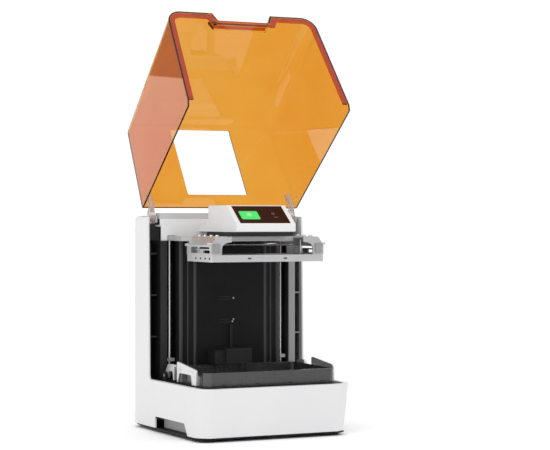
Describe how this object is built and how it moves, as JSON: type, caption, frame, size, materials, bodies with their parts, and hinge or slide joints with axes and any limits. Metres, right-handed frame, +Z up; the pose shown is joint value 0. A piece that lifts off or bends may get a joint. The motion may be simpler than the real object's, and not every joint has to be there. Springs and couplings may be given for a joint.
{
  "type": "resin printer",
  "caption": "Desktop resin printer with a hinged see-through orange lid, an overhanging control console, a rising build plate and a resin vat.",
  "frame": {"origin": "on the table, below the middle of the printer's box with the lid open; the build axis, through the middle of the exposure screen, is 79 mm in front of it", "axes": "+X to the printer's right seen from the front, +Y to the back, +Z up"},
  "size_m": [0.3178, 0.3608, 0.765],
  "materials": {
    "white_casing": "white satin moulding",
    "dark_sheet": "black painted sheet",
    "black_plastic": "black fine-textured plastic",
    "grey_strip": "grey plastic",
    "foot_rubber": "soft black rubber",
    "seal_rubber": "black seal rubber",
    "screen_black": "black screen glass",
    "display_dark": "dark display glass",
    "lid_amber": "see-through orange acrylic",
    "hinge_grey": "grey plastic",
    "bright_steel": "ground steel",
    "bare_aluminium": "fine blasted aluminium",
    "silver_sheet": "silver sheet",
    "vat_dark": "dark anodised",
    "film_clear": "clear release film",
    "board_green": "circuit board",
    "zinc_box": "plated box"
  },
  "bodies": {
    "machine": {"outer_casing": "white_casing", "rear_panel": "dark_sheet", "base_pan": "dark_sheet", "foot_front_left": "foot_rubber", "foot_front_right": "foot_rubber", "foot_rear_left": "foot_rubber", "foot_rear_right": "foot_rubber", "grip_insert_left": "grey_strip", "grip_insert_right": "grey_strip", "top_deck": "dark_sheet", "lid_seal": "seal_rubber", "screen_glass": "screen_black", "lamp_module": "bare_aluminium", "light_box": "zinc_box", "main_board": "board_green", "power_supply": "zinc_box", "power_inlet": "black_plastic", "back_panel": "dark_sheet", "side_liner_left": "black_plastic", "side_liner_right": "black_plastic", "lift_motor": "zinc_box", "column_frame": "dark_sheet", "guide_shaft_left": "bright_steel", "guide_shaft_right": "bright_steel", "shaft_support_left": "bare_aluminium", "shaft_support_right": "bare_aluminium", "top_beam": "white_casing", "hinge_cover": "grey_strip", "hinge_bracket_left": "hinge_grey", "hinge_bracket_right": "hinge_grey", "console_shell": "white_casing", "console_floor": "black_plastic", "display_glass": "display_dark", "resin_vat": "vat_dark", "film_frame": "vat_dark", "release_film": "film_clear", "vat_wing_left": "silver_sheet", "vat_wing_right": "silver_sheet", "latch_mount_left": "black_plastic", "latch_mount_right": "black_plastic", "sensor_box": "black_plastic"},
    "lid": {"lid_shell": "lid_amber", "lid_flange": "lid_amber", "hinge_arm_left": "hinge_grey", "hinge_arm_right": "hinge_grey"},
    "platform": {"build_plate": "bare_aluminium", "plate_bracket_left": "bare_aluminium", "plate_bracket_right": "bare_aluminium", "hanger_bar": "bright_steel", "hanger_pin_left": "bright_steel", "hanger_pin_right": "bright_steel", "yoke": "bare_aluminium", "carriage": "bare_aluminium"},
    "screw": {"lead_screw": "bright_steel"},
    "latch_left": {"vat_latch_left": "silver_sheet"},
    "latch_right": {"vat_latch_right": "silver_sheet"},
    "lever_left": {"release_lever_left": "bare_aluminium"},
    "lever_right": {"release_lever_right": "bare_aluminium"},
    "rocker": {"power_rocker": "black_plastic"},
    "fan": {"fan_rotor": "black_plastic"}
  },
  "joints": [
    {"name": "lid_hinge", "type": "hinge", "parent": "machine", "child": "lid", "pos_m": [0, 0.06812, 0.3891], "axis": [1, 0, 0], "range_deg": [0, 127.2]},
    {"name": "platform_lift", "type": "slide", "parent": "machine", "child": "platform", "axis": [0, 0, 1], "range_m": [-0.2161, 0]},
    {"name": "screw_spin", "type": "hinge", "parent": "machine", "child": "screw", "pos_m": [0, 0.06302, 0.2], "axis": [0, 0, 1], "range_deg": [-9725.5, 1]},
    {"name": "latch_left_swing", "type": "hinge", "parent": "machine", "child": "latch_left", "pos_m": [-0.131, 0.01702, 0.1034], "axis": [1, 0, 0], "range_deg": [-75, 0]},
    {"name": "latch_right_swing", "type": "hinge", "parent": "machine", "child": "latch_right", "pos_m": [0.131, 0.01702, 0.1034], "axis": [1, 0, 0], "range_deg": [-75, 0]},
    {"name": "lever_left_tilt", "type": "hinge", "parent": "platform", "child": "lever_left", "pos_m": [-0.1003, -0.13698, 0.3292], "axis": [1, 0, 0], "range_deg": [0, 20], "stiffness_Nm_per_rad": 0.02},
    {"name": "lever_right_tilt", "type": "hinge", "parent": "platform", "child": "lever_right", "pos_m": [0.1003, -0.13698, 0.3292], "axis": [1, 0, 0], "range_deg": [0, 20], "stiffness_Nm_per_rad": 0.02},
    {"name": "rocker_tilt", "type": "hinge", "parent": "machine", "child": "rocker", "pos_m": [0.058, 0.13602, 0.045], "axis": [1, 0, 0], "range_deg": [-12, 0]},
    {"name": "fan_spin", "type": "hinge", "parent": "machine", "child": "fan", "pos_m": [0, 0.13202, 0.28], "axis": [0, 1, 0], "continuous": true}
  ],
  "couplings": [
    {"joint": "screw_spin", "follows": "platform_lift", "rad_per_m": 785.4}
  ]
}
